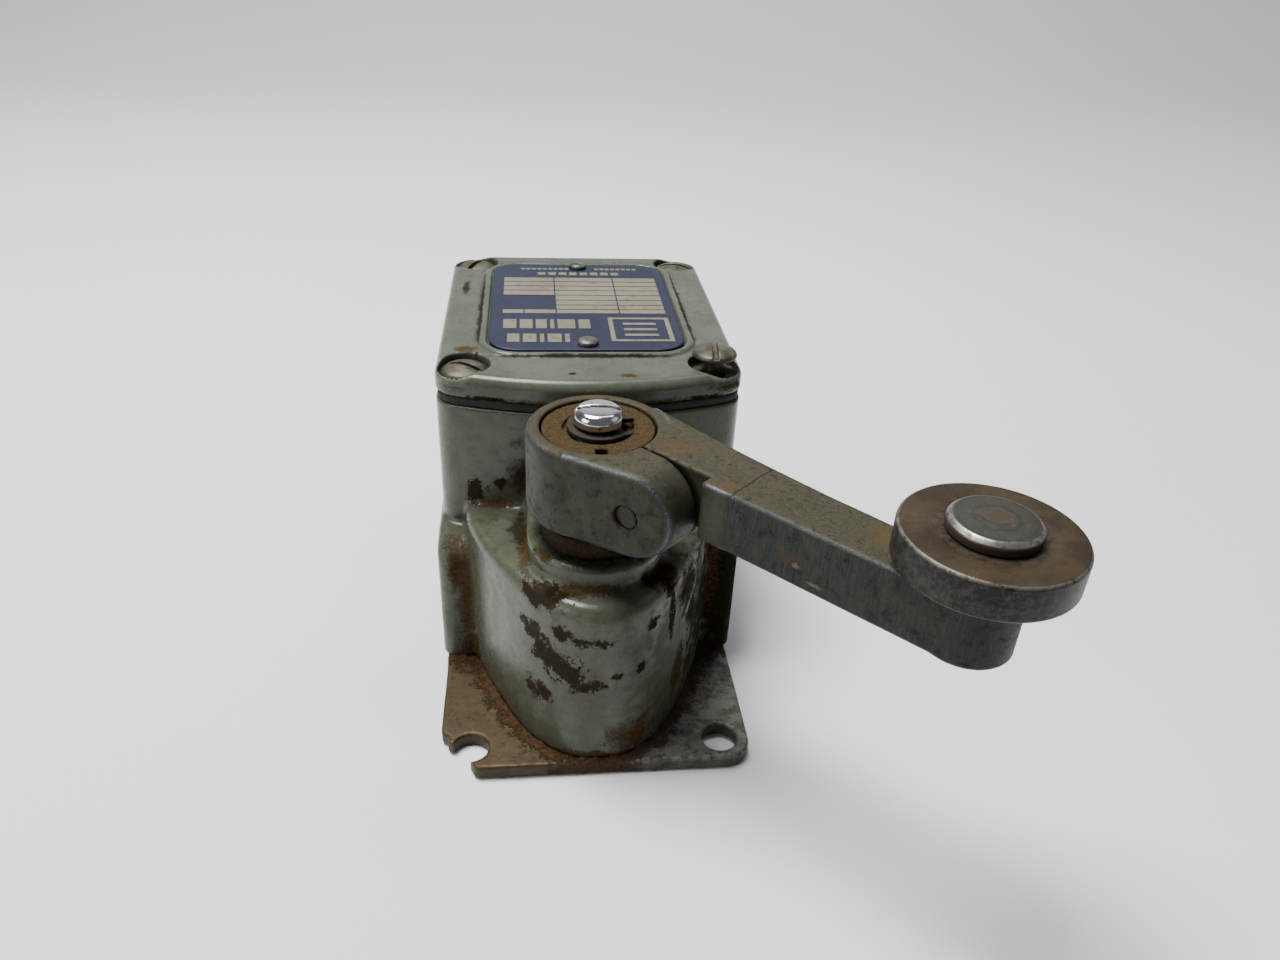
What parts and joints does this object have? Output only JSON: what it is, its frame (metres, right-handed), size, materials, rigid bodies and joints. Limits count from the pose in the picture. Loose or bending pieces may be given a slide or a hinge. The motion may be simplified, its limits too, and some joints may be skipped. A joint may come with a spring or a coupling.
{
  "type": "limit switch",
  "caption": "Heavy-duty rotary limit switch: cast box with screwed cover on a steel mounting plate, nosed head with a clamped lever arm and a roller, contacts driven by a cam and plunger.",
  "frame": {"origin": "on the underside of the mounting plate, straight below the lever shaft axis", "axes": "+Z along the lever shaft, out through the lever; +Y from the head towards the switch box; +X to the right seen from the nose"},
  "size_m": [0.0988, 0.1702, 0.0786],
  "materials": {
    "housing_paint": "grey-green satin enamel, chipped, with rust and grime in the corners",
    "cover_paint": "grey-green satin enamel, chipped at the edges",
    "plate_steel": "bare steel, stained and rusty",
    "screw_steel": "dull zinc-plated steel",
    "lever_cast": "dull plated forging with bright worn edges",
    "rusty_steel": "granular orange-brown rust",
    "shaft_steel": "hardened steel",
    "chrome": "bright plating",
    "roller_steel": "dark oxidised hardened steel",
    "pin_steel": "turned steel",
    "rubber": "black rubber",
    "nameplate_enamel": "blue printed plate with blank pale fields",
    "bronze": "sintered bronze",
    "spring_steel": "spring steel",
    "moulding": "dark thermoset moulding",
    "brass": "brass",
    "contact_copper": "copper alloy with silver contacts",
    "ground_green": "green-tinted earth screw"
  },
  "bodies": {
    "switch_body": {"housing": "housing_paint", "mounting_plate": "plate_steel", "plate_screw_near": "screw_steel", "plate_screw_far": "screw_steel", "cover_gasket": "rubber", "cover": "cover_paint", "nameplate": "nameplate_enamel", "nameplate_rivet_near": "pin_steel", "nameplate_rivet_far": "pin_steel", "cover_screw_near_left": "screw_steel", "cover_screw_near_right": "screw_steel", "cover_screw_far_left": "screw_steel", "cover_screw_far_right": "screw_steel", "upper_bush": "bronze", "lower_bush": "bronze", "shaft_seal": "rubber", "seal_retainer": "rusty_steel", "return_spring": "spring_steel", "plunger_guide": "bronze", "contact_block": "moulding", "block_screw_near": "screw_steel", "block_screw_far": "screw_steel", "terminal_front_left": "brass", "terminal_front_right": "brass", "terminal_rear_left": "brass", "terminal_rear_right": "brass", "terminal_screw_front_left": "brass", "terminal_screw_front_right": "brass", "terminal_screw_rear_left": "brass", "terminal_screw_rear_right": "brass", "ground_screw": "ground_green"},
    "lever_assembly": {"lever_arm": "lever_cast", "clamp_screw": "shaft_steel", "hub_bushing": "rusty_steel", "lock_washer": "roller_steel", "centre_screw": "chrome", "shaft": "shaft_steel", "drive_cam": "shaft_steel", "roller_pin": "pin_steel", "roller_washer": "roller_steel"},
    "roller": {"roller": "roller_steel"},
    "plunger_assembly": {"plunger": "shaft_steel", "contact_carrier": "moulding", "contact_bridge_front": "contact_copper", "contact_bridge_rear": "contact_copper", "contact_spring_front": "spring_steel", "contact_spring_rear": "spring_steel"}
  },
  "joints": [
    {"name": "lever_swing", "type": "hinge", "parent": "switch_body", "child": "lever_assembly", "pos_m": [0, 0, 0.0592], "axis": [0, 0, 1], "range_deg": [-45, 45], "stiffness_Nm_per_rad": 0.5, "deforming": ["return_spring"]},
    {"name": "roller_spin", "type": "hinge", "parent": "lever_assembly", "child": "roller", "pos_m": [0.05273, -0.04965, 0.0732], "axis": [0, 0, 1], "continuous": true},
    {"name": "plunger_slide", "type": "slide", "parent": "switch_body", "child": "plunger_assembly", "axis": [0, 1, 0], "range_m": [-0.0026, 0.0026]}
  ],
  "couplings": [
    {"joint": "plunger_slide", "follows": "lever_swing", "m_per_rad": 0.0031831}
  ]
}
